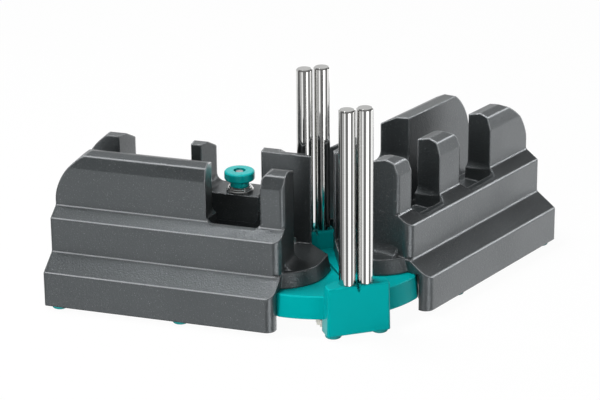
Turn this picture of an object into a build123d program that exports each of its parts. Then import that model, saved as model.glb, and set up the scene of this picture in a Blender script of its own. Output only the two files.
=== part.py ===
"""Swivelling miter box: two stepped, moulded channel arms on a turntable with a saw guide of four pins."""
from build123d import *
from math import acos, atan2, cos, degrees, hypot, pi, radians, sin, sqrt, tan
import os

os.makedirs("parts", exist_ok=True)

# Frame: the pivot stands on the table at the origin, the saw cuts in the plane X = 0, the front is -Y.
# An arm is drawn with X out along it, its front at +Y on the left arm and -Y on the right, then swung.
LEFT = 1
RIGHT = -1

# Swing of the arms from the straight position, folded to the back
rest_angle = 35.7
fold_limit = 47.5

# Clearances
turn_gap = 0.05
plate_gap = 0.10
rim_gap = 0.30
side_gap = 0.80

# Stepped section of an arm: reach of each band from the centre line, and its heights
ground = 2.5
band1_reach = 54.5
band1_top = 24.3
band2_reach = 40.5
band2_bottom = 33.3
band2_top = 54.8
band3_reach = 31.4
band3_bottom = 60.5
band3_top = 85.1
roof_reach = 28.5
roof_top = 93.3
ridge_reach = 22.5
ridge_top = 94.7
back_reach = 33.4
back_roof_reach = 22.4
back_roof_top = 91.0
channel_half = 13.2
channel_top = 91.8
channel_floor = 34.6
step_round = 1.6
wall = 3.2
cavity_top = 46.0

# Ends of an arm, measured from the pivot
tower_near = 21.5
far_end = 169.4
end_round = 1.5
far_round = 38.3
far_round_low = 60.0

# Saw side of an arm
miter_gap = 2.9
nose_end = 1.5
nose_radius = 30.0
nose_side = 11.0
nose_draft = 2.8
nose_blend = 6.0
corner_rounds = (5.5, 5.5, 3.0)
fence_thickness = 4.4
fence_pocket = 41.0

# Towers and slots along the walls
slot_taper = 2.0
slot_round = 5.0
tower_round = 10.0
slot_skin = 4.0
pocket_round = 3.0
window = (35.8, 71.7, 59.0)
knob_bar = (52.7, 88.0, 62.0)
back_gap = (98.3, 142.2, 52.0)
front_slots = ((35.8, 67.9, 56.5), (89.0, 125.5, 56.5))
right_bar = (52.7, 97.5, 62.0)
pad_bottom = 44.0
pad_height = 1.0
rib_pitch = 30.0
rib_thickness = 2.4
rib_clear = 12.0

# Turntable
disc_radius = 51.2
front_arc_radius = 70.3
front_arc_centre = 28.4
disc_bottom = 11.0
disc_top = 25.2
disc_draft = 6.0
disc_edge = 1.2
skin = 3.0
rim_wall = 4.6
front_half = 20.0
front_face = 47.0
front_back = 34.3
front_top = 33.0
front_draft = 1.3
front_edge = 1.2
rear_half = 11.5
rear_near = 34.0
rear_far = 51.0
rear_top = 36.8
rear_ramp = 1.5
block_round = 2.0
kerf_width = 1.4
kerf_depth = 2.5
web_count = 8
web_thickness = 2.4
core_radius = 14.0
pin_block_half = 14.0
pin_block_near = 30.0
base_boss_radius = 3.9
kerf_vee = 2.2

# Guide pins
pin_diameter = 10.0
pin_chamfer = 0.75
pin_gap = 1.06
pin_pitch = 80.7
pin_top = 141.9
pin_foot = 12.0

# Swivel plates, idler gears and screws
plate = 2.2
hub_radius = 15.0
tooth_module = 1.2
hub_teeth = 32
idler_teeth = 16
pressure_angle = 20.0
backlash = 0.14
sector_half = 42.0
lever_half = 11.0
lever_end = 92.0
lever_screws = (66.0, 84.0)
lever_screw_side = 6.0
pivot_diameter = 10.0
pivot_thread = 8.0
pivot_head_radius = 9.0
pivot_head = 1.6
axle_diameter = 5.0
axle_thread = 4.0
axle_head_radius = 4.0
axle_head = 1.2
thread_depth = 10.0
socket_depth = 0.8
boss_wall = 3.0
screw_diameter = 3.5
screw_head_radius = 3.2
screw_head = 1.2
screw_length = 12.0

# Feet
foot_radius = 5.0
foot_stem_radius = 2.0
foot_stem = 6.0
foot_margin = 6.5
foot_boss_radius = 5.5
foot_round = 1.0
left_feet = (82.6, 161.5)
right_feet = (61.9, 161.5)
block_foot_x = 14.6
block_foot_y = 41.4
rear_foot_x = 6.2
rear_foot_y = 45.0

# Clamp
clamp_along = 67.6
clamp_back = 20.5
bolt_diameter = 6.0
bolt_head_radius = 5.0
bolt_head = 2.6
washer_radius = 8.5
washer_height = 1.6
knob_neck_radius = 5.9
knob_neck = 4.4
knob_cone = 1.8
knob_radius = 9.5
knob_rim = 5.4
knob_edge = 1.4
knob_recess_radius = 3.8
knob_recess = 2.0
insert_radius = 4.4
insert_height = 7.0
shoe_half = 8.0
shoe_height = 3.2
shoe_tip = 45.0
shoe_tail = 82.0
fulcrum_radius = 4.0
shoe_gap = 0.1

# Levels and places worked out from the sizes above
lower_plate = ground + 2 * plate_gap
mid_level = lower_plate + plate + plate_gap
upper_plate = mid_level + plate + plate_gap
plate_ceiling = upper_plate + plate + plate_gap
nose_bottom = disc_top + rim_gap
foot_side = band1_reach - foot_margin
pin_x = (pin_diameter + pin_gap) / 2
pin_y = pin_pitch / 2
hub_pitch = tooth_module * hub_teeth / 2
idler_pitch = tooth_module * idler_teeth / 2
idler_x = idler_pitch
idler_y = sqrt((hub_pitch + idler_pitch) ** 2 - idler_x ** 2)
relief_radius = disc_radius + side_gap
hollow_start = relief_radius + 2 * wall
clamp_radius = hypot(clamp_along, clamp_back)
clamp_turn = degrees(atan2(clamp_back, clamp_along))
shoe_bottom = disc_bottom - shoe_gap - shoe_height
knob_bottom = knob_bar[2] + washer_height
knob_top = knob_bottom + knob_neck + knob_cone + knob_rim
reach_all = 2 * far_end
sky = 2 * ridge_top


def swing(side):
    """Place of an arm at rest: turned about the pivot, X out along the arm."""
    turn = 180 - rest_angle if side == LEFT else rest_angle
    return Location((0, 0, 0), (0, 0, turn))


def beyond_line(distance, side, sign):
    """Corners of the half plane beyond a line parallel to the saw plane at the full fold, along the arm."""
    lean_cos = cos(radians(fold_limit))
    lean_sin = sin(radians(fold_limit))
    front = ((distance - reach_all * lean_sin) / lean_cos, side * reach_all)
    back = ((distance + reach_all * lean_sin) / lean_cos, -side * reach_all)
    edge = sign * 3 * reach_all
    return [front, back, (edge, -side * reach_all), (edge, side * reach_all)]


def section_outline(side):
    """Stepped section as points (reach, height): up its front, down into the channel, and down its back."""
    foot = [
        (band1_reach, ground),
        (band1_reach, band1_top),
        (band2_reach, band2_bottom),
        (band2_reach, band2_top),
    ]
    front = [
        (band3_reach, band3_bottom),
        (band3_reach, band3_top),
        (roof_reach, roof_top),
        (ridge_reach, ridge_top),
        (channel_half, channel_top),
        (channel_half, channel_floor),
    ]
    back = [
        (back_reach, band3_bottom),
        (back_reach, band3_top),
        (back_roof_reach, back_roof_top),
        (channel_half, channel_top),
        (channel_half, channel_floor),
    ]
    outline = foot + front + [(-reach, height) for reach, height in reversed(foot + back)]
    return [(side * reach, height) for reach, height in outline]


def hollow_outline(inset, floor):
    """Right half of the hollow underside, inset from the stepped section."""
    return [
        (band1_reach - inset, floor),
        (band1_reach - inset, band1_top - inset / 2),
        (band2_reach - inset, band2_bottom - inset / 2),
        (band2_reach - inset, cavity_top + wall - inset),
        (channel_half + inset, cavity_top + wall - inset),
        (channel_half + inset, channel_floor - inset),
    ]


def both_halves(points):
    """Closed outline from its right half, mirrored about the centre line."""
    return points + [(-reach, height) for reach, height in reversed(points)]


def foot_spots(side):
    """Places of an arm's feet, along the arm and to both of its sides."""
    rows = left_feet if side == LEFT else right_feet
    return [(along, sign * foot_side) for along in rows for sign in (1, -1)]


def lever_spots():
    """Places of the screws that hold a swivel plate to its arm."""
    return [(along, sign * lever_screw_side) for along in lever_screws for sign in (1, -1)]


def plate_level(side):
    """Height of the underside of an arm's swivel plate."""
    return lower_plate if side == LEFT else upper_plate


def gear_outline(teeth, turn):
    """Spur gear outline with involute flanks, one tooth centred on the angle turn in degrees."""
    pitch = tooth_module * teeth / 2
    base = pitch * cos(radians(pressure_angle))
    tip = pitch + tooth_module
    root = pitch - 1.25 * tooth_module
    pitch_roll = tan(radians(pressure_angle)) - radians(pressure_angle)
    half_tooth = (pi * tooth_module / 2 - backlash) / (2 * pitch)
    start = max(base, root)
    flank = [(root, half_tooth + pitch_roll)]
    for step in range(4):
        radius = start + (tip - start) * step / 3
        roll = acos(base / radius)
        flank.append((radius, half_tooth + pitch_roll - (tan(roll) - roll)))
    if root >= base:
        flank = flank[1:]
    points = []
    for tooth in range(teeth):
        middle = radians(turn) + 2 * pi * tooth / teeth
        rising = [(radius, middle - spread) for radius, spread in flank]
        falling = [(radius, middle + spread) for radius, spread in reversed(flank)]
        points += [(radius * cos(angle), radius * sin(angle)) for radius, angle in rising + falling]
    return points


def hub_turn(line_angle, idler_turn):
    """Angle of a hub tooth, so that a hub gap takes the idler tooth nearest to the line of centres."""
    tooth_angle = 360 / idler_teeth
    to_hub = line_angle + 180
    nearest = idler_turn + tooth_angle * round((to_hub - idler_turn) / tooth_angle)
    gap_angle = line_angle - (nearest - to_hub) * idler_pitch / hub_pitch
    return gap_angle + 180 / hub_teeth


def make_housing(side, outer_slots, inner_slots):
    """Moulded channel arm. Slots are (start, end, bottom) along its front wall and its back wall."""
    with BuildPart() as housing:
        # Stepped section drawn out along the arm, its steps softened
        with BuildSketch(Plane.YZ.offset(nose_end)):
            with BuildLine():
                Polyline(*section_outline(side), close=True)
            make_face()
            steps = [v for v in vertices() if v.Y > ground + 1 and abs(abs(v.X) - channel_half) > 1]
            fillet(steps, step_round)
        extrude(amount=far_end - nose_end)

        # Far end, rounded over all its outer edges and drawn in to an arc above the second step
        end_face = housing.faces().sort_by(Axis.X)[-1]
        in_channel = [e for e in end_face.edges() if abs(e.center().Y) < channel_half + 1]
        fillet([e for e in end_face.edges() if e not in in_channel and e.center().Z > ground + 1], end_round)
        with BuildSketch(Plane.XZ):
            with Locations((far_end - far_round + reach_all / 2, far_round_low + sky / 2)):
                Rectangle(reach_all, sky)
            with Locations((far_end - far_round, far_round_low)):
                Circle(far_round, mode=Mode.SUBTRACT)
        extrude(amount=band1_reach + wall, both=True, mode=Mode.SUBTRACT)

        # Near end of the front wall, cut square and rounded at the corners of its three bands
        with BuildSketch(Plane.XY.offset(channel_floor)):
            with Locations((tower_near - reach_all / 2, side * (reach_all / 2 - channel_half))):
                Rectangle(reach_all, reach_all)
        extrude(amount=sky, mode=Mode.SUBTRACT)
        with BuildSketch(Plane.XY):
            with Locations((tower_near - reach_all / 2, side * (reach_all / 2 + nose_side))):
                Rectangle(reach_all, reach_all)
        extrude(amount=channel_floor, mode=Mode.SUBTRACT)
        corners = (
            (band1_reach, 0, band2_bottom),
            (band2_reach, band2_bottom, band3_bottom),
            (band3_reach, band3_bottom, sky),
        )
        for (reach, low, high), radius in zip(corners, corner_rounds):
            with BuildSketch(Plane.XY.offset(low)):
                with Locations((tower_near + radius / 2, side * (reach - radius / 2))):
                    Rectangle(radius, radius)
                with Locations((tower_near + radius, side * (reach - radius))):
                    Circle(radius, mode=Mode.SUBTRACT)
            extrude(amount=high - low, mode=Mode.SUBTRACT)

        # Nose under the front tower: a quarter cone and a leaning end, with a hollow blend up to the tower
        nose_centre = (nose_end + nose_radius, side * nose_side, 0)
        with BuildSketch(Plane(origin=nose_centre, x_dir=(-1, 0, 0), z_dir=(0, 1, 0))):
            with BuildLine():
                Polyline(
                    (0, nose_bottom),
                    (nose_radius, nose_bottom),
                    (nose_radius - nose_draft, channel_floor),
                    (0, channel_floor),
                    close=True,
                )
            make_face()
        revolve(axis=Axis(nose_centre, (0, 0, -side)), revolution_arc=90)
        with BuildSketch(Plane.XZ):
            with BuildLine():
                Polyline(
                    (0, nose_bottom),
                    (nose_end, nose_bottom),
                    (nose_end + nose_draft, channel_floor),
                    (0, channel_floor),
                    close=True,
                )
            make_face()
        extrude(amount=reach_all, both=True, mode=Mode.SUBTRACT)
        with BuildSketch(Plane.XZ.offset(-side * channel_half)):
            with Locations((tower_near - nose_blend / 2, channel_floor + nose_blend / 2)):
                Rectangle(nose_blend, nose_blend)
            with Locations((tower_near - nose_blend, channel_floor + nose_blend)):
                Circle(nose_blend, mode=Mode.SUBTRACT)
        extrude(amount=-side * (band3_reach - channel_half))

        # Back wall, cut along the saw plane at the full fold
        with BuildSketch(Plane.XY):
            with BuildLine():
                Polyline(*beyond_line(miter_gap, side, -1), close=True)
            make_face()
        extrude(amount=sky, mode=Mode.SUBTRACT)

        # Room for the turntable under the nose
        with BuildSketch(Plane.XY):
            Circle(relief_radius)
        extrude(amount=nose_bottom, mode=Mode.SUBTRACT)

        # Room for the rear block and its pins as the arm folds
        with BuildSketch(Plane.XY):
            Circle(hypot(rear_half, rear_far) + side_gap)
            Circle(rear_near - rear_ramp - side_gap, mode=Mode.SUBTRACT)
            with BuildLine():
                Polyline(*beyond_line(rear_half + side_gap, side, 1), close=True)
            make_face(mode=Mode.SUBTRACT)
        extrude(amount=rear_top + side_gap, mode=Mode.SUBTRACT)
        with BuildSketch(Plane.XY.offset(rear_top)):
            Circle(hypot(rear_half, rear_far) + side_gap)
            with Locations((fence_pocket / 2, -side * (channel_half + fence_thickness + reach_all / 2))):
                Rectangle(fence_pocket, reach_all, mode=Mode.INTERSECT)
        extrude(amount=sky, mode=Mode.SUBTRACT)

        # Slots between the towers: wider at the channel, rounded at the bottom
        for sign, slots in ((side, outer_slots), (-side, inner_slots)):
            for start, end, bottom in slots:
                for reach, widen in ((channel_half - 1, slot_taper), (band2_reach + 1, -slot_taper)):
                    with BuildSketch(Plane.XZ.offset(-sign * reach)):
                        with Locations(((start + end) / 2, (bottom + sky) / 2)):
                            Rectangle(end - start + 2 * widen, sky - bottom)
                        fillet([v for v in vertices() if v.Y < bottom + 1], slot_round)
                loft(mode=Mode.SUBTRACT)

        # Pockets behind the thin front skin under the slots, and the tower tops rounded down to them
        for start, end, bottom in outer_slots:
            slope = (band3_bottom - bottom) / (band3_bottom - band2_top)
            skin_reach = band3_reach + slope * (band2_reach - band3_reach) - slot_skin
            with BuildSketch(Plane.XY.offset(cavity_top + wall)):
                with Locations(((start + end) / 2, side * (channel_half + skin_reach) / 2)):
                    Rectangle(end - start - slot_taper, skin_reach - channel_half)
                fillet([v for v in vertices() if abs(v.Y) > channel_half + 1], pocket_round)
            extrude(amount=bottom - cavity_top, mode=Mode.SUBTRACT)
            with BuildSketch(Plane.XZ.offset(-side * (channel_half - 1))):
                with Locations((start + slot_taper - tower_round / 2, band3_top + tower_round / 2)):
                    Rectangle(tower_round, tower_round)
                with Locations((start + slot_taper - tower_round, band3_top)):
                    Circle(tower_round, mode=Mode.SUBTRACT)
            extrude(amount=-side * band2_reach, mode=Mode.SUBTRACT)

        # Hollow underside, open to the table, with cross ribs
        with BuildSketch(Plane.YZ.offset(hollow_start)):
            with BuildLine():
                Polyline(*both_halves(hollow_outline(wall, 0)), close=True)
            make_face()
        extrude(amount=far_end - wall - hollow_start, mode=Mode.SUBTRACT)
        for number in range(1, int((far_end - wall - hollow_start) / rib_pitch) + 1):
            with BuildSketch(Plane.YZ.offset(hollow_start + number * rib_pitch)):
                with BuildLine():
                    Polyline(*both_halves(hollow_outline(wall / 2, rib_clear)), close=True)
                make_face()
            extrude(amount=rib_thickness)

        # Bosses for the feet and for the screws of the swivel plate, and the way in for the plate
        with BuildSketch(Plane.XY.offset(ground)):
            with Locations(*foot_spots(side)):
                Circle(foot_boss_radius)
        extrude(amount=band1_top - wall - ground)
        with BuildSketch(Plane.XY):
            with Locations(((hub_radius + lever_end) / 2 + side_gap, 0)):
                Rectangle(lever_end - hub_radius + 2 * side_gap, 2 * (lever_half + side_gap))
        extrude(amount=plate_level(side) + plate + plate_gap, mode=Mode.SUBTRACT)
        with BuildSketch(Plane.XY.offset(plate_level(side) + plate)):
            with Locations(*lever_spots()):
                Circle(screw_diameter / 2 + boss_wall)
        extrude(amount=channel_floor - wall / 2 - plate_level(side) - plate)
        with BuildSketch(Plane.XY):
            with Locations(*foot_spots(side)):
                Circle(foot_stem_radius + turn_gap)
        extrude(amount=ground + foot_stem + plate_gap, mode=Mode.SUBTRACT)
        with BuildSketch(Plane.XY):
            with Locations(*lever_spots()):
                Circle(screw_diameter / 2 + turn_gap)
        extrude(amount=plate_level(side) + plate + screw_length, mode=Mode.SUBTRACT)

        if side == LEFT:
            # Pad proud of the channel wall under the clamp bar
            with BuildSketch(Plane.XZ.offset(channel_half)):
                with Locations(((knob_bar[0] + knob_bar[1]) / 2, (pad_bottom + knob_bar[2]) / 2)):
                    Rectangle(knob_bar[1] - knob_bar[0], knob_bar[2] - pad_bottom)
                fillet([v for v in vertices() if v.Y < pad_bottom + 1], slot_round)
            extrude(amount=-pad_height)

            # Way for the clamp shoe, and the bore of its bolt up through the bar
            with BuildSketch(Plane.XY.rotated((0, 0, -clamp_turn))):
                with Locations(((shoe_tip + shoe_tail) / 2, 0)):
                    Rectangle(shoe_tail - shoe_tip + 2 * side_gap, 2 * (shoe_half + side_gap))
            extrude(amount=disc_bottom, mode=Mode.SUBTRACT)
            with BuildSketch(Plane.XY):
                with Locations((clamp_along, -clamp_back)):
                    Circle(bolt_diameter / 2 + rim_gap)
            extrude(amount=knob_bar[2] + 1, mode=Mode.SUBTRACT)
            with BuildSketch(Plane.XY.offset(disc_bottom).rotated((0, 0, -clamp_turn))):
                with Locations((shoe_tail - fulcrum_radius, 0)):
                    Circle(fulcrum_radius)
            extrude(amount=cavity_top - disc_bottom + 1)
    return housing


def make_swivel_plate(side, line_angle, idler_turn):
    """Steel plate of an arm: hub with a toothed sector, and a lever screwed under the channel."""
    turn = swing(side).orientation.Z
    middle = radians(line_angle - turn + side * (fold_limit / 2 - rest_angle))
    spread = radians(sector_half)
    sector_reach = 2 * hub_pitch
    with BuildPart() as swivel_plate:
        with BuildSketch(Plane.XY.offset(plate_level(side))):
            with BuildLine():
                Polyline(*gear_outline(hub_teeth, hub_turn(line_angle, idler_turn) - turn), close=True)
            make_face()
            with BuildLine():
                Polyline(
                    (0, 0),
                    (sector_reach * cos(middle - spread), sector_reach * sin(middle - spread)),
                    (sector_reach * cos(middle), sector_reach * sin(middle)),
                    (sector_reach * cos(middle + spread), sector_reach * sin(middle + spread)),
                    close=True,
                )
            make_face(mode=Mode.INTERSECT)
            Circle(hub_radius)
            with Locations((lever_end / 2, 0)):
                Rectangle(lever_end, 2 * lever_half)
            fillet([v for v in vertices() if abs(v.X - lever_end) < 0.1], lever_half / 2)
            Circle(pivot_diameter / 2 + turn_gap, mode=Mode.SUBTRACT)
            with Locations(*lever_spots()):
                Circle(screw_diameter / 2 + turn_gap, mode=Mode.SUBTRACT)
        extrude(amount=plate)
    return swivel_plate


def make_idler(place, bottom, turn):
    """Spur idler of two plate thicknesses, so that it meets its hub on one level and its twin on the other."""
    with BuildPart() as idler:
        with BuildSketch(Plane(origin=(*place, bottom))):
            with BuildLine():
                Polyline(*gear_outline(idler_teeth, turn), close=True)
            make_face()
            Circle(axle_diameter / 2 + turn_gap, mode=Mode.SUBTRACT)
        extrude(amount=2 * plate + plate_gap)
    return idler


def make_shoulder_screw(place, bottom, shoulder_top, head_radius, head, shoulder, thread):
    """Screw from below: head, plain shoulder that a part turns on, and thread up into the turntable."""
    with BuildPart() as screw:
        with BuildSketch(Plane(origin=(*place, bottom - head))):
            Circle(head_radius)
        extrude(amount=head)
        with BuildSketch(Plane(origin=(*place, bottom))):
            Circle(shoulder / 2)
        extrude(amount=shoulder_top - bottom)
        with BuildSketch(Plane(origin=(*place, shoulder_top))):
            Circle(thread / 2)
        extrude(amount=thread_depth)
        with BuildSketch(Plane(origin=(*place, bottom - head))):
            RegularPolygon(thread / 2, 6)
        extrude(amount=socket_depth, mode=Mode.SUBTRACT)
    return screw


def make_feet(spots, radius):
    """Rubber feet with stems, standing on the table."""
    with BuildPart() as feet:
        with BuildSketch(Plane.XY):
            with Locations(*spots):
                Circle(radius)
        extrude(amount=ground)
        fillet(feet.edges().group_by(Axis.Z)[0], foot_round)
        with BuildSketch(Plane.XY.offset(ground)):
            with Locations(*spots):
                Circle(foot_stem_radius)
        extrude(amount=foot_stem)
    return feet


def make_plate_screws(side):
    """Pan-head screws that hold a swivel plate up to the bosses of its arm."""
    with BuildPart() as screws:
        with BuildSketch(Plane.XY.offset(plate_level(side) - screw_head)):
            with Locations(*lever_spots()):
                Circle(screw_head_radius)
        extrude(amount=screw_head)
        with BuildSketch(Plane.XY.offset(plate_level(side))):
            with Locations(*lever_spots()):
                Circle(screw_diameter / 2)
        extrude(amount=screw_length)
        with BuildSketch(Plane.XY.offset(plate_level(side) - screw_head)):
            with Locations(*lever_spots()):
                RegularPolygon(screw_diameter / 2, 6)
        extrude(amount=socket_depth, mode=Mode.SUBTRACT)
    return screws


def save(solid, name):
    """Label a finished piece and write it under its name."""
    solid.label = name
    export_step(solid, f"parts/{name}.step")


# Arms
save(make_housing(LEFT, (window,), (knob_bar, back_gap)).part.moved(swing(LEFT)), "left_housing")
save(make_housing(RIGHT, front_slots, (right_bar,)).part.moved(swing(RIGHT)), "right_housing")
save(make_feet(foot_spots(LEFT), foot_radius).part.moved(swing(LEFT)), "left_feet")
save(make_feet(foot_spots(RIGHT), foot_radius).part.moved(swing(RIGHT)), "right_feet")

# Turntable: disc with a flatter front, a square front block and a narrow rear block, one moulding
front_spots = [(sign * block_foot_x, -block_foot_y) for sign in (1, -1)]
rear_spots = [(sign * rear_foot_x, rear_foot_y) for sign in (1, -1)]
idler_spots = {LEFT: (-idler_x, -idler_y), RIGHT: (idler_x, -idler_y)}
idler_levels = {LEFT: lower_plate, RIGHT: mid_level}
with BuildPart() as turntable:
    with BuildSketch(Plane.XY.offset(disc_bottom)):
        Circle(disc_radius)
        with Locations((0, front_arc_centre)):
            Circle(front_arc_radius, mode=Mode.INTERSECT)
    extrude(amount=disc_top - disc_bottom, taper=disc_draft)
    fillet(turntable.edges().group_by(Axis.Z)[-1], disc_edge)

    # Front block, its sides leaning in a little, and rear block with its ramp
    with BuildSketch(Plane.XY.offset(ground)):
        with Locations((0, -(front_face + front_back) / 2)):
            RectangleRounded(2 * front_half, front_face - front_back, block_round)
    extrude(amount=front_top - ground, taper=front_draft)
    fillet(turntable.edges().group_by(Axis.Z)[-1], front_edge)
    with BuildSketch(Plane.YZ.offset(-rear_half)):
        with BuildLine():
            Polyline(
                (rear_far, ground),
                (rear_far, rear_top),
                (rear_near, rear_top),
                (rear_near - rear_ramp, disc_top - 1),
                (rear_near - rear_ramp, disc_bottom),
                (rear_near, disc_bottom),
                (rear_near, ground),
                close=True,
            )
        make_face()
        fillet([v for v in vertices() if v.Y > rear_top - 1], block_round)
    extrude(amount=2 * rear_half)

    # Room for the noses of the straight arms behind the front block
    with BuildSketch(Plane.XY.offset(disc_top)):
        with Locations(*[(sign * (nose_end + nose_radius), -nose_side) for sign in (1, -1)]):
            Circle(nose_radius + side_gap)
    extrude(amount=front_top, mode=Mode.SUBTRACT)

    # Pockets between webs on the underside, and the hollows of the two blocks
    with BuildSketch(Plane.XY.offset(disc_bottom)):
        Circle(disc_radius - rim_wall)
        with Locations((0, front_arc_centre)):
            Circle(front_arc_radius - rim_wall, mode=Mode.INTERSECT)
        Circle(core_radius, mode=Mode.SUBTRACT)
        with Locations((0, -disc_radius), (0, disc_radius)):
            Rectangle(2 * pin_block_half, 2 * (disc_radius - pin_block_near), mode=Mode.SUBTRACT)
        with PolarLocations(0, web_count, start_angle=180 / web_count):
            Rectangle(2 * disc_radius, web_thickness, mode=Mode.SUBTRACT)
        with Locations(*idler_spots.values()):
            Circle(axle_thread / 2 + boss_wall, mode=Mode.SUBTRACT)
    extrude(amount=disc_top - skin - disc_bottom, mode=Mode.SUBTRACT)
    with BuildSketch(Plane.XY):
        with Locations((0, -(front_face - wall + front_back - 1) / 2)):
            Rectangle(2 * (front_half - wall), front_face - wall - front_back + 1)
        with Locations((0, (rear_far - wall + rear_near - 1) / 2)):
            Rectangle(2 * (rear_half - wall), rear_far - wall - rear_near + 1)
        with Locations(*idler_spots.values()):
            Circle(idler_pitch + tooth_module + side_gap)
    extrude(amount=disc_bottom, mode=Mode.SUBTRACT)
    with BuildSketch(Plane.XY.offset(ground)):
        with Locations(*front_spots, *rear_spots):
            Circle(base_boss_radius)
    extrude(amount=disc_bottom - ground)

    # Bosses of the pivot and the idler gears, then the holes
    with BuildSketch(Plane.XY.offset(plate_ceiling)):
        Circle(pivot_head_radius)
    extrude(amount=disc_bottom - plate_ceiling)
    for side, spot in idler_spots.items():
        level = idler_levels[side] + 2 * (plate + plate_gap)
        with BuildSketch(Plane(origin=(*spot, level))):
            Circle(axle_thread / 2 + boss_wall)
        extrude(amount=disc_top - skin - level)
        with BuildSketch(Plane(origin=(*spot, level))):
            Circle(axle_thread / 2)
        extrude(amount=thread_depth + plate_gap, mode=Mode.SUBTRACT)
    with BuildSketch(Plane.XY.offset(plate_ceiling)):
        Circle(pivot_thread / 2)
    extrude(amount=thread_depth + plate_gap, mode=Mode.SUBTRACT)
    with BuildSketch(Plane.XY):
        with Locations(*front_spots, *rear_spots):
            Circle(foot_stem_radius)
    extrude(amount=ground + foot_stem + plate_gap, mode=Mode.SUBTRACT)
    with BuildSketch(Plane.XY.offset(pin_foot)):
        with GridLocations(2 * pin_x, 2 * pin_y, 2, 2):
            Circle(pin_diameter / 2)
    extrude(amount=sky, mode=Mode.SUBTRACT)

    # Saw kerf along the top, with a vee at the front edge
    with BuildSketch(Plane.YZ.offset(-kerf_width / 2)):
        with BuildLine():
            Polyline(
                (-reach_all, front_top - kerf_depth),
                (-front_back, front_top - kerf_depth),
                (-front_back, disc_top - kerf_depth),
                (rear_near - rear_ramp, disc_top - kerf_depth),
                (rear_near, rear_top - kerf_depth),
                (reach_all, rear_top - kerf_depth),
                (reach_all, sky),
                (-reach_all, sky),
                close=True,
            )
        make_face()
    extrude(amount=kerf_width, mode=Mode.SUBTRACT)
    with BuildSketch(Plane.XZ.offset(front_face)):
        with BuildLine():
            Polyline(
                (-kerf_vee, front_top + 1),
                (0, front_top - 2 * kerf_vee),
                (kerf_vee, front_top + 1),
                close=True,
            )
        make_face()
    extrude(amount=-kerf_vee, mode=Mode.SUBTRACT)
save(turntable.part, "base_turntable")
save(make_feet(front_spots + rear_spots, foot_radius).part, "base_feet")

# Saw guide: four ground pins in the blocks
for x_sign, x_name in ((-1, "left"), (1, "right")):
    for y_sign, y_name in ((-1, "front"), (1, "rear")):
        with BuildPart() as guide_pin:
            with BuildSketch(Plane(origin=(x_sign * pin_x, y_sign * pin_y, pin_foot))):
                Circle(pin_diameter / 2)
            extrude(amount=pin_top - pin_foot)
            chamfer(guide_pin.edges().sort_by(Axis.Z)[-1], pin_chamfer)
        save(guide_pin.part, f"guide_pin_{y_name}_{x_name}")

# Swivel plates turn on the pivot bolt with a spacer between them, and two idler gears turn them opposite ways
idler_turns = {LEFT: 0.0, RIGHT: 180 + 180 / idler_teeth}
for side, name in ((LEFT, "left"), (RIGHT, "right")):
    spot = idler_spots[side]
    line_angle = degrees(atan2(spot[1], spot[0]))
    swivel_plate = make_swivel_plate(side, line_angle, idler_turns[side])
    save(swivel_plate.part.moved(swing(side)), f"{name}_swivel_plate")
    save(make_plate_screws(side).part.moved(swing(side)), f"{name}_plate_screws")
    level = idler_levels[side]
    save(make_idler(spot, level, idler_turns[side]).part, f"{name}_idler_gear")
    axle = make_shoulder_screw(
        spot,
        level - plate_gap,
        level + 2 * (plate + plate_gap),
        axle_head_radius,
        axle_head,
        axle_diameter,
        axle_thread,
    )
    save(axle.part, f"{name}_idler_axle")
pivot_bolt = make_shoulder_screw(
    (0, 0),
    lower_plate - plate_gap,
    plate_ceiling,
    pivot_head_radius,
    pivot_head,
    pivot_diameter,
    pivot_thread,
)
save(pivot_bolt.part, "pivot_bolt")
with BuildPart() as hub_spacer:
    with BuildSketch(Plane.XY.offset(mid_level)):
        Circle(pivot_head_radius)
        Circle(pivot_diameter / 2 + turn_gap, mode=Mode.SUBTRACT)
    extrude(amount=plate)
save(hub_spacer.part, "hub_spacer")

# Clamp: the knob draws the bolt and its shoe up against the rim of the turntable
with BuildPart() as clamp_shoe:
    with BuildSketch(Plane.XY.offset(shoe_bottom).rotated((0, 0, -clamp_turn))):
        with Locations(((shoe_tip + shoe_tail) / 2, 0)):
            Rectangle(shoe_tail - shoe_tip, 2 * shoe_half)
        fillet(vertices(), block_round)
        with Locations((clamp_radius, 0)):
            Circle(bolt_diameter / 2, mode=Mode.SUBTRACT)
    extrude(amount=shoe_height)
save(clamp_shoe.part.moved(swing(LEFT)), "clamp_shoe")
with BuildPart() as clamp_bolt:
    with BuildSketch(Plane(origin=(clamp_along, -clamp_back, shoe_bottom - bolt_head))):
        RegularPolygon(bolt_head_radius, 6)
    extrude(amount=bolt_head)
    with BuildSketch(Plane(origin=(clamp_along, -clamp_back, shoe_bottom))):
        Circle(bolt_diameter / 2)
    extrude(amount=knob_top - knob_recess / 3 - shoe_bottom)
    chamfer(clamp_bolt.edges().sort_by(Axis.Z)[-1], pin_chamfer)
save(clamp_bolt.part.moved(swing(LEFT)), "clamp_bolt")
knob_axis = Plane(origin=(clamp_along, -clamp_back, 0), x_dir=(1, 0, 0), z_dir=(0, -1, 0))
with BuildPart() as knob_washer:
    with BuildSketch(Plane(origin=(clamp_along, -clamp_back, knob_bar[2]))):
        Circle(washer_radius)
        Circle(bolt_diameter / 2 + rim_gap, mode=Mode.SUBTRACT)
    extrude(amount=washer_height)
    chamfer(knob_washer.faces().sort_by(Axis.Z)[-1].outer_wire().edges(), washer_height / 3)
save(knob_washer.part.moved(swing(LEFT)), "knob_washer")
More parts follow.
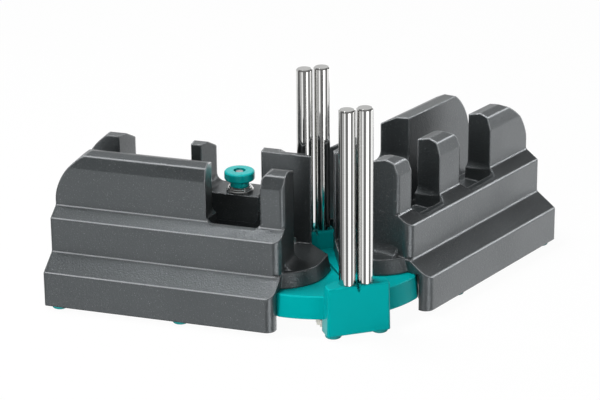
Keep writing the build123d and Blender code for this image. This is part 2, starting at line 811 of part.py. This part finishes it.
with BuildPart() as clamp_knob:
    with BuildSketch(knob_axis):
        with BuildLine():
            Polyline(
                (0, knob_bottom),
                (knob_neck_radius, knob_bottom),
                (knob_neck_radius, knob_bottom + knob_neck),
                (knob_radius, knob_bottom + knob_neck + knob_cone),
                (knob_radius, knob_top),
                (0, knob_top),
                close=True,
            )
        make_face()
        fillet([v for v in vertices() if v.X > knob_radius - 1], knob_edge)
    revolve(axis=Axis((clamp_along, -clamp_back, 0), (0, 0, 1)))
    with BuildSketch(Plane(origin=(clamp_along, -clamp_back, knob_top))):
        Circle(knob_recess_radius)
    extrude(amount=-knob_recess, mode=Mode.SUBTRACT)
    with BuildSketch(Plane(origin=(clamp_along, -clamp_back, knob_bottom))):
        Circle(insert_radius)
    extrude(amount=insert_height, mode=Mode.SUBTRACT)
    with BuildSketch(Plane(origin=(clamp_along, -clamp_back, knob_bottom))):
        Circle(bolt_diameter / 2 + turn_gap)
    extrude(amount=knob_top - knob_bottom, mode=Mode.SUBTRACT)
save(clamp_knob.part.moved(swing(LEFT)), "clamp_knob")
with BuildPart() as knob_insert:
    with BuildSketch(Plane(origin=(clamp_along, -clamp_back, knob_bottom))):
        Circle(insert_radius)
        Circle(bolt_diameter / 2 + turn_gap, mode=Mode.SUBTRACT)
    extrude(amount=insert_height)
save(knob_insert.part.moved(swing(LEFT)), "knob_insert")
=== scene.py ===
"""Looks of the swivelling miter box: finishes of its mouldings, metal and rubber, studio, camera."""
from math import cos, pi, radians, sin

import bpy
import numpy as np
from mathutils import Matrix, Vector


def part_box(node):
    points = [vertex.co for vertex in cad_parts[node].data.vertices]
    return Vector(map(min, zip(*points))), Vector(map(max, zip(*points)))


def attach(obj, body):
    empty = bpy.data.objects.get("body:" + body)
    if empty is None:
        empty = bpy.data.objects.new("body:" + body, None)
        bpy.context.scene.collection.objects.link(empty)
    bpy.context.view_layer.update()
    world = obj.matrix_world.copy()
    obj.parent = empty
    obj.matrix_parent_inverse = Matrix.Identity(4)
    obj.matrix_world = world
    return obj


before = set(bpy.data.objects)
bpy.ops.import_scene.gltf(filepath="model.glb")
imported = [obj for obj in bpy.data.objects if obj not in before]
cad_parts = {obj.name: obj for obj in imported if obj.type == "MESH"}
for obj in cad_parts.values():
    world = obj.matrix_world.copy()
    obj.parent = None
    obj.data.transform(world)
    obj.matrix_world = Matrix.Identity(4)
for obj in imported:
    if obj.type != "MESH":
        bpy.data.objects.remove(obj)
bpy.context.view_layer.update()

# Camera of the photograph: direction from the object in degrees, target and distance in metres
camera_azimuth = -17.50
camera_elevation = 21.10
camera_roll = -0.50
camera_target = (-0.0114, 0.0326, 0.0600)
camera_distance = 1.529
camera_lens = 149.3
sensor_width = 36.0

# Floor: half its side in metres, its colour, and how far the camera sees it as white
floor_half = 9.0
floor_colour = (0.70, 0.70, 0.70)
floor_glow = 0.96

# Light of the room: its levels, and the heights of the direction (y or z) over which they fade
side_level = 3.6
side_fade = (-0.05, 0.15)
even_level = 0.16
back_level = 0.95
back_fade = (0.35, 0.75)
overhead_level = 0.20
overhead_fade = (0.70, 0.95)

# Light boxes and dark flags of the room: angle to the right of the camera, share of the side level
side_boxes = (
    (-180, 0.00), (-126, 0.16), (-103, 0.08), (-88, 0.01), (-70, 0.02), (-62, 0.24),
    (-52, 0.14), (-43, 0.12), (-35, 0.54), (-30, 0.52), (-22, 0.28), (-12, 0.03),
    (0, 0.02), (14, 0.15), (25, 0.95), (42, 1.00), (52, 0.22), (64, 0.01),
    (78, 0.04), (92, 0.50), (116, 0.50), (126, 0.25), (150, 0.50), (168, 0.40),
)

# Panels: name, place, point they look at, side and power, lights matt faces, shows in glossy ones
object_middle = (0, 0, 0.05)
panels = (
    ("left_key_panel", (-1.03, -0.79, 0.45), object_middle, 0.60, 10.0, True, False),
    ("front_fill_panel", (-0.49, -1.17, 0.64), object_middle, 0.60, 4.5, True, False),
    ("right_key_panel", (0.95, -1.15, 0.35), object_middle, 0.60, 0.4, True, True),
    ("overhead_panel", (-0.24, 0.22, 1.05), (-0.06, 0.02, 0.05), 0.35, 10.0, True, False),
    ("left_glint_panel", (-0.20, 0.16, 1.00), (-0.045, -0.02, 0.06), 0.20, 1.6, True, True),
    ("right_edge_panel", (1.00, 0.00, 0.50), (0.08, 0.0, 0.05), 0.30, 3.0, False, True),
)

# Finishes, as linear colours
graphite = (0.0205, 0.0234, 0.0243)
graphite_shine = (0.90, 0.96, 1.0, 1)
flake_colour = (0.55, 0.57, 0.58)
teal = (0.0, 0.300, 0.305)
teal_shine = (0.0, 1.0, 1.0, 1)
# Teal of the knob: the turntable's teal lifted to offset the shade round the knob, painted light.
shade_lifted_teal = (0.0, 0.370, 0.365)
steel = (0.60, 0.60, 0.59)
bright_steel = (0.80, 0.80, 0.79)
zinc = (0.52, 0.53, 0.54)
brass = (0.62, 0.43, 0.17)
nylon = (0.76, 0.74, 0.68)

# Softened edges: samples, and the change of the normal that begins and fills their mask
bevel_samples = 6
edge_mask_window = (0.003, 0.05)
smoother_edge = -0.12
# Painted highlight lines on sharp edges: heights of the normal, and the metres above the line height, over which
# they reach their full strength, with their strength below that
sharp_window = (0.05, 0.40)
sharp_rest = 0.12
line_rise = 0.012
line_rest = 0.15
no_line_height = -1.0
# Painted highlight lines on rounded edges: heights of the normal where they begin and end, and the share of the
# face's own normal along the arm where they fade
round_start = (0.36, 0.50)
round_end = (0.68, 0.80)
end_face_fade = (0.20, 0.45)

# Grain of mouldings: waves per metre, and the noise values that darken, show a flake or dull
grain_scale = 1000.0
broad_scale = 28.0
flake_scale = 1900.0
mottle_window = (0.35, 0.65)
flake_window = (0.66, 0.74)
dull_window = (0.3, 0.7)
dull_change = (-0.04, 0.05)

# Turned metal: waves per metre, and how rings and stains change colour and roughness
ring_scale = 90.0
stain_scale = 60.0
ring_colour_window = (0.3, 0.7)
ring_colour_change = (0.93, 1.04)
ring_dull_window = (0.35, 0.75)
ring_dull_change = (-0.02, 0.05)
stain_window = (0.4, 0.75)
stain_change = (0.0, 0.05)
ring_depth = 0.000004

# Collar on the knob's washer: radius and height of its section in metres, and its facets
collar_section = (
    (0.0060, 0.0), (0.0078, 0.0), (0.0078, 0.0006), (0.0074, 0.0010),
    (0.0068, 0.0011), (0.0068, 0.0017), (0.0065, 0.0020), (0.0060, 0.0020),
)
collar_facets = 96


def new_node(tree, kind, **values):
    """Node of a shader tree, with its own settings."""
    node = tree.nodes.new(kind)
    for name, value in values.items():
        setattr(node, name, value)
    return node


def set_inputs(node, **values):
    """Sockets of a node by name, with _ for a space."""
    for name, value in values.items():
        node.inputs[name.replace("_", " ")].default_value = value


def feed(tree, value, socket):
    """Links a socket to the input, or sets its number."""
    if isinstance(value, bpy.types.NodeSocket):
        tree.links.new(value, socket)
    else:
        socket.default_value = value


def calculate(tree, operation, first, second=0.0, clamp=False):
    """Value of a math operation on two sockets or numbers."""
    node = new_node(tree, "ShaderNodeMath", operation=operation, use_clamp=clamp)
    feed(tree, first, node.inputs[0])
    feed(tree, second, node.inputs[1])
    return node.outputs[0]


def vector_math(tree, operation, first, second):
    """Node of a vector operation on two sockets, the second one a number for a scale."""
    node = new_node(tree, "ShaderNodeVectorMath", operation=operation)
    tree.links.new(first, node.inputs[0])
    tree.links.new(second, node.inputs["Scale" if operation == "SCALE" else 1])
    return node.outputs


def spread_between(tree, value, low, high, new_low, new_high):
    """Value moved from one range to another, smoothly and clamped."""
    node = new_node(tree, "ShaderNodeMapRange", interpolation_type="SMOOTHSTEP")
    tree.links.new(value, node.inputs["Value"])
    for name, number in (("From Min", low), ("From Max", high), ("To Min", new_low), ("To Max", new_high)):
        feed(tree, number, node.inputs[name])
    return node.outputs["Result"]


def split(tree, vector):
    """X, Y and Z of a vector."""
    parts = new_node(tree, "ShaderNodeSeparateXYZ")
    tree.links.new(vector, parts.inputs[0])
    return parts.outputs


def new_group(name, inputs, outputs):
    """Shader node group with inputs (name and default) and outputs (name and kind)."""
    group = bpy.data.node_groups.new(name, "ShaderNodeTree")
    for label, default in inputs:
        kind = "NodeSocketColor" if isinstance(default, tuple) else "NodeSocketFloat"
        socket = group.interface.new_socket(name=label, in_out="INPUT", socket_type=kind)
        socket.default_value = default
    for label, kind in outputs:
        group.interface.new_socket(name=label, in_out="OUTPUT", socket_type=kind)
    given = group.nodes.new("NodeGroupInput").outputs
    result = group.nodes.new("NodeGroupOutput").inputs
    return group, given, result


def object_noise(tree, scale, detail):
    """Noise on object coordinates, in waves per metre."""
    noise = new_node(tree, "ShaderNodeTexNoise")
    place = new_node(tree, "ShaderNodeTexCoord").outputs["Object"]
    tree.links.new(place, noise.inputs["Vector"])
    set_inputs(noise, Scale=scale, Detail=detail)
    return noise.outputs["Fac"]


def mix_colour(tree, amount, first, second):
    """Colour between that of a socket and a given one."""
    node = new_node(tree, "ShaderNodeMix", data_type="RGBA")
    tree.links.new(amount, node.inputs[0])
    tree.links.new(first, node.inputs[6])
    node.inputs[7].default_value = (*second, 1)
    return node.outputs[2]


def make_edge_group():
    """Softened edges: the rounded normal, a mask of where it leaves the flat one, and the painted highlight
    lines.

    The lines lie on sharp edges that look up and are high enough, and on rounded edges between the
    two heights of the normal, but not on end faces, whose own normal runs along the arm.
    """
    group, given, result = new_group(
        "softened_edge",
        [("Radius", 0.001), ("Arm X", 0.0), ("Arm Y", 0.0), ("Line Height", no_line_height)],
        [("Normal", "NodeSocketVector"), ("Mask", "NodeSocketFloat"), ("Painted Highlight", "NodeSocketFloat")],
    )
    bevel = new_node(group, "ShaderNodeBevel", samples=bevel_samples)
    group.links.new(given["Radius"], bevel.inputs["Radius"])
    rounded = bevel.outputs["Normal"]
    flat = new_node(group, "ShaderNodeNewGeometry").outputs["Normal"]
    near = vector_math(group, "DOT_PRODUCT", rounded, flat)["Value"]
    mask = spread_between(group, calculate(group, "SUBTRACT", 1.0, near), *edge_mask_window, 0.0, 1.0)

    height = split(group, rounded)["Z"]
    upward = spread_between(group, height, *sharp_window, sharp_rest, 1.0)
    place = new_node(group, "ShaderNodeTexCoord").outputs
    line_full = calculate(group, "ADD", given["Line Height"], line_rise)
    level = split(group, place["Object"])["Z"]
    raised = spread_between(group, level, given["Line Height"], line_full, line_rest, 1.0)
    sharp = calculate(group, "MULTIPLY", calculate(group, "MULTIPLY", mask, upward), raised)

    own = split(group, place["Normal"])
    along_x = calculate(group, "MULTIPLY", own["X"], given["Arm X"])
    along_y = calculate(group, "MULTIPLY", own["Y"], given["Arm Y"])
    along = calculate(group, "ABSOLUTE", calculate(group, "ADD", along_x, along_y))
    sideways = spread_between(group, along, *end_face_fade, 1.0, 0.0)
    rising = spread_between(group, height, *round_start, 0.0, 1.0)
    tipping = spread_between(group, height, *round_end, 1.0, 0.0)
    rolled = calculate(group, "MULTIPLY", calculate(group, "MULTIPLY", rising, tipping), sideways)

    group.links.new(rounded, result["Normal"])
    group.links.new(mask, result["Mask"])
    # The third output is the mask of the painted highlight lines.
    group.links.new(calculate(group, "MAXIMUM", sharp, rolled), result["Painted Highlight"])
    return group


def make_grain_group():
    """Moulded grain: fine pebbling, broad mottling and small bright flakes."""
    group, given, result = new_group(
        "moulded_grain",
        [("Colour", (0.1, 0.1, 0.1, 1)), ("Mottle", 0.12), ("Flakes", 0.3), ("Gloss", 0.35)],
        [("Colour", "NodeSocketColor"), ("Roughness", "NodeSocketFloat"), ("Height", "NodeSocketFloat")],
    )
    grain = object_noise(group, grain_scale, 3.0)
    broad = object_noise(group, broad_scale, 3.0)
    fleck = object_noise(group, flake_scale, 1.0)
    darker = calculate(group, "SUBTRACT", 1.0, given["Mottle"])
    level = spread_between(group, broad, *mottle_window, darker, 1.0)
    shaded = vector_math(group, "SCALE", given["Colour"], level)[0]
    bright = spread_between(group, fleck, *flake_window, 0.0, 1.0)
    amount = calculate(group, "MULTIPLY", bright, given["Flakes"])
    dulled = spread_between(group, broad, *dull_window, *dull_change)
    roughness = calculate(group, "ADD", given["Gloss"], dulled, clamp=True)
    group.links.new(mix_colour(group, amount, shaded, flake_colour), result["Colour"])
    group.links.new(roughness, result["Roughness"])
    group.links.new(grain, result["Height"])
    return group


def make_turned_group():
    """Turned or ground metal: rings across the most stretched axis, and soft stains."""
    group, given, result = new_group(
        "turned_lines",
        [("Colour", (0.6, 0.6, 0.6, 1)), ("Along X", 1.0), ("Along Y", 1.0), ("Along Z", 60.0), ("Gloss", 0.15)],
        [("Colour", "NodeSocketColor"), ("Roughness", "NodeSocketFloat"), ("Height", "NodeSocketFloat")],
    )
    place = new_node(group, "ShaderNodeTexCoord").outputs["Object"]
    stretch = new_node(group, "ShaderNodeCombineXYZ")
    for axis in ("X", "Y", "Z"):
        group.links.new(given["Along " + axis], stretch.inputs[axis])
    rings = new_node(group, "ShaderNodeTexNoise")
    set_inputs(rings, Scale=ring_scale, Detail=4.0, Roughness=0.65)
    group.links.new(vector_math(group, "MULTIPLY", place, stretch.outputs[0])[0], rings.inputs["Vector"])
    ring = rings.outputs["Fac"]
    stain = object_noise(group, stain_scale, 3.0)
    level = spread_between(group, ring, *ring_colour_window, *ring_colour_change)
    ring_rough = spread_between(group, ring, *ring_dull_window, *ring_dull_change)
    stain_rough = spread_between(group, stain, *stain_window, *stain_change)
    dulled = calculate(group, "ADD", ring_rough, stain_rough)
    group.links.new(vector_math(group, "SCALE", given["Colour"], level)[0], result["Colour"])
    group.links.new(calculate(group, "ADD", given["Gloss"], dulled, clamp=True), result["Roughness"])
    group.links.new(ring, result["Height"])
    return group


edge_group = make_edge_group()
grain_group = make_grain_group()
turned_group = make_turned_group()


def use_group(tree, group, **values):
    """Group placed in a material, with its values."""
    node = new_node(tree, "ShaderNodeGroup", node_tree=group)
    for name, value in values.items():
        socket = node.inputs[name.replace("_", " ")]
        socket.default_value = (*value, 1) if isinstance(value, tuple) else value
    return node


def new_material(name):
    """Material, its tree and its shader."""
    material = bpy.data.materials.new(name)
    material.use_nodes = True
    tree = material.node_tree
    return material, tree, tree.nodes["Principled BSDF"]


def add_bump(tree, shader, height, normal, depth):
    """Bump on top of a softened normal, depth in metres."""
    bump = new_node(tree, "ShaderNodeBump")
    set_inputs(bump, Distance=depth, Strength=1.0)
    tree.links.new(height, bump.inputs["Height"])
    tree.links.new(normal, bump.inputs["Normal"])
    tree.links.new(bump.outputs["Normal"], shader.inputs["Normal"])


def moulded_finish(
    name, colour, highlight_colour, radius, highlight_strength, gloss, flakes, mottle, grain_depth,
    arm=(0.0, 0.0), line_height=no_line_height, **shader_values
):
    """Moulded plastic or rubber with grain, flakes where it has them, and soft, smoother edges.

    Its painted highlight lines take the highlight colour. The arm is the direction in which its end faces look.
    """
    material, tree, shader = new_material(name)
    edge = use_group(tree, edge_group, Radius=radius, Arm_X=arm[0], Arm_Y=arm[1], Line_Height=line_height)
    grain = use_group(tree, grain_group, Colour=colour, Mottle=mottle, Flakes=flakes, Gloss=gloss)
    # Painted highlight: bright lines mixed into the base colour along edges that catch the light from above.
    painted_highlight = calculate(tree, "MULTIPLY", edge.outputs["Painted Highlight"], highlight_strength)
    tree.links.new(mix_colour(tree, painted_highlight, grain.outputs["Colour"], highlight_colour), shader.inputs["Base Color"])
    smoother = calculate(tree, "MULTIPLY", edge.outputs["Mask"], smoother_edge)
    roughness = calculate(tree, "ADD", grain.outputs["Roughness"], smoother, clamp=True)
    tree.links.new(roughness, shader.inputs["Roughness"])
    add_bump(tree, shader, grain.outputs["Height"], edge.outputs["Normal"], grain_depth)
    set_inputs(shader, **shader_values)
    return material


def housing_finish(name, highlight_colour, radius, arm):
    """Graphite plastic of an arm, with painted highlight lines along the edges of its upper half."""
    return moulded_finish(
        name,
        colour=graphite,
        highlight_colour=highlight_colour,
        radius=radius,
        highlight_strength=0.8,
        gloss=0.33,
        flakes=0.26,
        mottle=0.12,
        grain_depth=0.00020,
        arm=arm,
        line_height=0.062,
        IOR=1.6,
        Specular_IOR_Level=1.0,
        Specular_Tint=graphite_shine,
    )


def turned_finish(name, colour, radius, gloss, along=(1.0, 1.0, 60.0)):
    """Bright metal with fine rings and broken edges, stretched along each axis by a factor."""
    material, tree, shader = new_material(name)
    edge = use_group(tree, edge_group, Radius=radius)
    rings = use_group(
        tree, turned_group, Colour=colour, Gloss=gloss, Along_X=along[0], Along_Y=along[1], Along_Z=along[2]
    )
    tree.links.new(rings.outputs["Colour"], shader.inputs["Base Color"])
    tree.links.new(rings.outputs["Roughness"], shader.inputs["Roughness"])
    add_bump(tree, shader, rings.outputs["Height"], edge.outputs["Normal"], ring_depth)
    set_inputs(shader, Metallic=1.0)
    return material


def dress(material, *names):
    """Gives CAD nodes a finish."""
    for name in names:
        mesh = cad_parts[name].data
        mesh.materials.clear()
        mesh.materials.append(material)


# Each arm's edge colour paints highlight lines; they are brighter on the right arm, where more light falls, than
# on the left.
left_graphite = housing_finish("left_housing_graphite", (0.34, 0.35, 0.36), 0.0014, (-0.814, 0.581))
right_graphite = housing_finish("right_housing_graphite", (0.58, 0.60, 0.62), 0.0017, (0.814, 0.581))
# Turntable teal; its edge colour paints highlight lines on the rounded rims.
moulded_teal = moulded_finish(
    "turntable_teal",
    colour=teal,
    highlight_colour=(0.02, 0.45, 0.45),
    radius=0.0008,
    highlight_strength=0.3,
    gloss=0.33,
    flakes=0.0,
    mottle=0.06,
    grain_depth=0.00001,
    Specular_IOR_Level=0.35,
    Specular_Tint=teal_shine,
)
# Knob: teal lifted against the shade round the knob, painted light, with painted highlight lines on its edges.
shade_lifted_knob_finish = moulded_finish(
    "shade_lifted_teal",
    colour=shade_lifted_teal,
    highlight_colour=(0.02, 0.50, 0.50),
    radius=0.0006,
    highlight_strength=0.3,
    gloss=0.28,
    flakes=0.0,
    mottle=0.04,
    grain_depth=0.00001,
    Specular_IOR_Level=0.5,
)
# Feet: their edge colour paints faint highlight lines on the edges.
rubber_teal = moulded_finish(
    "foot_rubber",
    colour=(0.01, 0.27, 0.27),
    highlight_colour=(0.03, 0.30, 0.30),
    radius=0.0004,
    highlight_strength=0.2,
    gloss=0.62,
    flakes=0.0,
    mottle=0.10,
    grain_depth=0.00003,
    Specular_IOR_Level=0.3,
)
gear_white = moulded_finish(
    "idler_nylon",
    colour=nylon,
    highlight_colour=nylon,
    radius=0.0002,
    highlight_strength=0.0,
    gloss=0.42,
    flakes=0.0,
    mottle=0.05,
    grain_depth=0.00001,
)
pin_steel = turned_finish("guide_pin_steel", steel, 0.0003, 0.06)
plate_zinc = turned_finish("swivel_plate_zinc", zinc, 0.0003, 0.30, (1.0, 30.0, 1.0))
bolt_zinc = turned_finish("bolt_zinc", zinc, 0.0003, 0.22)
collar_steel = turned_finish("knob_collar_steel", bright_steel, 0.0002, 0.16)
insert_brass = turned_finish("insert_brass", brass, 0.0002, 0.22)

dress(left_graphite, "left_housing")
dress(right_graphite, "right_housing")
dress(moulded_teal, "base_turntable")
dress(shade_lifted_knob_finish, "clamp_knob")
dress(rubber_teal, "left_feet", "right_feet", "base_feet")
dress(pin_steel, *[f"guide_pin_{row}_{side}" for row in ("front", "rear") for side in ("left", "right")])
dress(plate_zinc, "left_swivel_plate", "right_swivel_plate", "clamp_shoe")
dress(bolt_zinc, "left_plate_screws", "right_plate_screws", "left_idler_axle", "right_idler_axle")
dress(bolt_zinc, "pivot_bolt", "hub_spacer", "clamp_bolt")
dress(collar_steel, "knob_washer")
dress(insert_brass, "knob_insert")
dress(gear_white, "left_idler_gear", "right_idler_gear")


def lathe(name, centre, section, facets, material):
    """Ring turned round an upright axis.

    A point is the centre, plus the section's radius at the angle, plus the section's height.
    The section is a closed loop of (radius, height), which runs with the metal on its left.
    """
    angle = 2 * pi * np.arange(facets) / facets
    radius, height = np.array(section).T
    turned = np.stack(
        [
            centre[0] + np.outer(np.cos(angle), radius),
            centre[1] + np.outer(np.sin(angle), radius),
            centre[2] + np.outer(np.ones(facets), height),
        ],
        axis=-1,
    )
    count = len(section)
    row = np.arange(facets)[:, None] * count
    here = (row + np.arange(count)[None, :]).ravel()
    up = (row + (np.arange(count)[None, :] + 1) % count).ravel()
    on = (here + count) % (facets * count)
    up_on = (up + count) % (facets * count)
    faces = np.stack([here, on, up_on, up], axis=1)
    mesh = bpy.data.meshes.new(name)
    mesh.from_pydata(turned.reshape(-1, 3).tolist(), [], faces.tolist())
    mesh.materials.append(material)
    return add_object(name, mesh)


def add_object(name, data):
    """Object of a mesh, lamp or camera, linked to the scene."""
    added = bpy.data.objects.new(name, data)
    bpy.context.scene.collection.objects.link(added)
    return added


def make_collar():
    """Bright stepped collar that stands on the washer round the knob's neck."""
    low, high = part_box("knob_washer")
    centre = ((low.x + high.x) / 2, (low.y + high.y) / 2, high.z)
    collar = lathe("knob_collar", centre, collar_section, collar_facets, collar_steel)
    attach(collar, "left_arm")


def make_floor():
    """Pale floor, which shows white to the camera and keeps the object's shadow."""
    corners = floor_half * np.array([(-1, -1, 0), (1, -1, 0), (1, 1, 0), (-1, 1, 0)], float)
    mesh = bpy.data.meshes.new("studio_floor")
    mesh.from_pydata(corners.tolist(), [], [(0, 1, 2, 3)])
    floor = add_object("studio_floor", mesh)
    material, tree, shader = new_material("studio_floor")
    set_inputs(shader, Base_Color=(*floor_colour, 1), Roughness=0.9, Specular_IOR_Level=0.0)
    glow = new_node(tree, "ShaderNodeEmission")
    blend = new_node(tree, "ShaderNodeMixShader")
    to_camera = new_node(tree, "ShaderNodeLightPath").outputs["Is Camera Ray"]
    tree.links.new(calculate(tree, "MULTIPLY", to_camera, floor_glow), blend.inputs["Fac"])
    tree.links.new(shader.outputs[0], blend.inputs[1])
    tree.links.new(glow.outputs[0], blend.inputs[2])
    tree.links.new(blend.outputs[0], tree.nodes["Material Output"].inputs["Surface"])
    mesh.materials.append(material)
    floor.visible_glossy = False


def make_room():
    """White room to the camera, and to all other rays boxes of light round the object and over it."""
    world = bpy.data.worlds.new("studio_room")
    bpy.context.scene.world = world
    world.use_nodes = True
    tree = world.node_tree
    backdrop = tree.nodes["Background"]
    set_inputs(backdrop, Color=(1, 1, 1, 1), Strength=1.0)
    boxes = new_node(tree, "ShaderNodeBackground")
    direction = split(tree, new_node(tree, "ShaderNodeTexCoord").outputs["Generated"])
    turn = calculate(tree, "ARCTAN2", direction["Y"], direction["X"])
    share = calculate(tree, "ADD", calculate(tree, "DIVIDE", turn, 2 * pi), 0.5)
    ramp = new_node(tree, "ShaderNodeValToRGB")
    tree.links.new(share, ramp.inputs["Fac"])
    fill_ramp(ramp.color_ramp)
    low = spread_between(tree, direction["Z"], *side_fade, side_level, 0.0)
    high = spread_between(tree, direction["Z"], *overhead_fade, 0.0, overhead_level)
    around = calculate(tree, "MULTIPLY", ramp.outputs["Color"], low)
    wall = spread_between(tree, direction["Y"], *back_fade, even_level, back_level)
    boxed = calculate(tree, "ADD", around, high)
    tree.links.new(calculate(tree, "ADD", boxed, wall), boxes.inputs["Strength"])
    path = new_node(tree, "ShaderNodeLightPath").outputs
    seen = calculate(tree, "MAXIMUM", path["Is Camera Ray"], path["Is Transmission Ray"])
    outer = new_node(tree, "ShaderNodeMixShader")
    tree.links.new(seen, outer.inputs["Fac"])
    tree.links.new(boxes.outputs[0], outer.inputs[1])
    tree.links.new(backdrop.outputs[0], outer.inputs[2])
    tree.links.new(outer.outputs[0], tree.nodes["World Output"].inputs["Surface"])


def fill_ramp(ramp):
    """Levels of the side boxes over the turn round the object, which starts and ends at -x."""
    turned = sorted(((0.25 + (camera_azimuth + angle) / 360) % 1, level) for angle, level in side_boxes)
    while len(ramp.elements) < len(turned):
        ramp.elements.new(0.5)
    for element, (place, level) in zip(ramp.elements, turned):
        element.position = place
        element.color = (level, level, level, 1)


def make_panel(name, place, aim, size, power, lights_matt, mirrored):
    """Soft square light that looks at a point, lights matt faces or not, and shows in glossy ones or not."""
    lamp = bpy.data.lights.new(name, "AREA")
    lamp.size = size
    lamp.energy = power
    panel = add_object(name, lamp)
    panel.location = place
    panel.visible_diffuse = lights_matt
    panel.visible_glossy = mirrored
    panel.rotation_euler = (Vector(aim) - Vector(place)).to_track_quat("-Z", "Y").to_euler()


def make_camera():
    """Camera at the photograph's viewing angle."""
    azimuth, elevation, roll = (radians(angle) for angle in (camera_azimuth, camera_elevation, camera_roll))
    back = Vector((sin(azimuth) * cos(elevation), -cos(azimuth) * cos(elevation), sin(elevation)))
    right = (-back).cross(Vector((0, 0, 1))).normalized()
    up = back.cross(right)
    turned_right = cos(roll) * right + sin(roll) * up
    turned_up = cos(roll) * up - sin(roll) * right
    lens = bpy.data.cameras.new("photo_camera")
    lens.sensor_width = sensor_width
    lens.lens = camera_lens
    lens.clip_start = 0.05
    lens.clip_end = 50.0
    camera = add_object("photo_camera", lens)
    axes = Matrix((turned_right, turned_up, back)).transposed().to_4x4()
    camera.matrix_world = Matrix.Translation(Vector(camera_target) + camera_distance * back) @ axes
    bpy.context.scene.camera = camera


make_collar()
make_floor()
make_room()
for panel in panels:
    make_panel(*panel)
make_camera()
bpy.context.scene.view_settings.view_transform = "Standard"
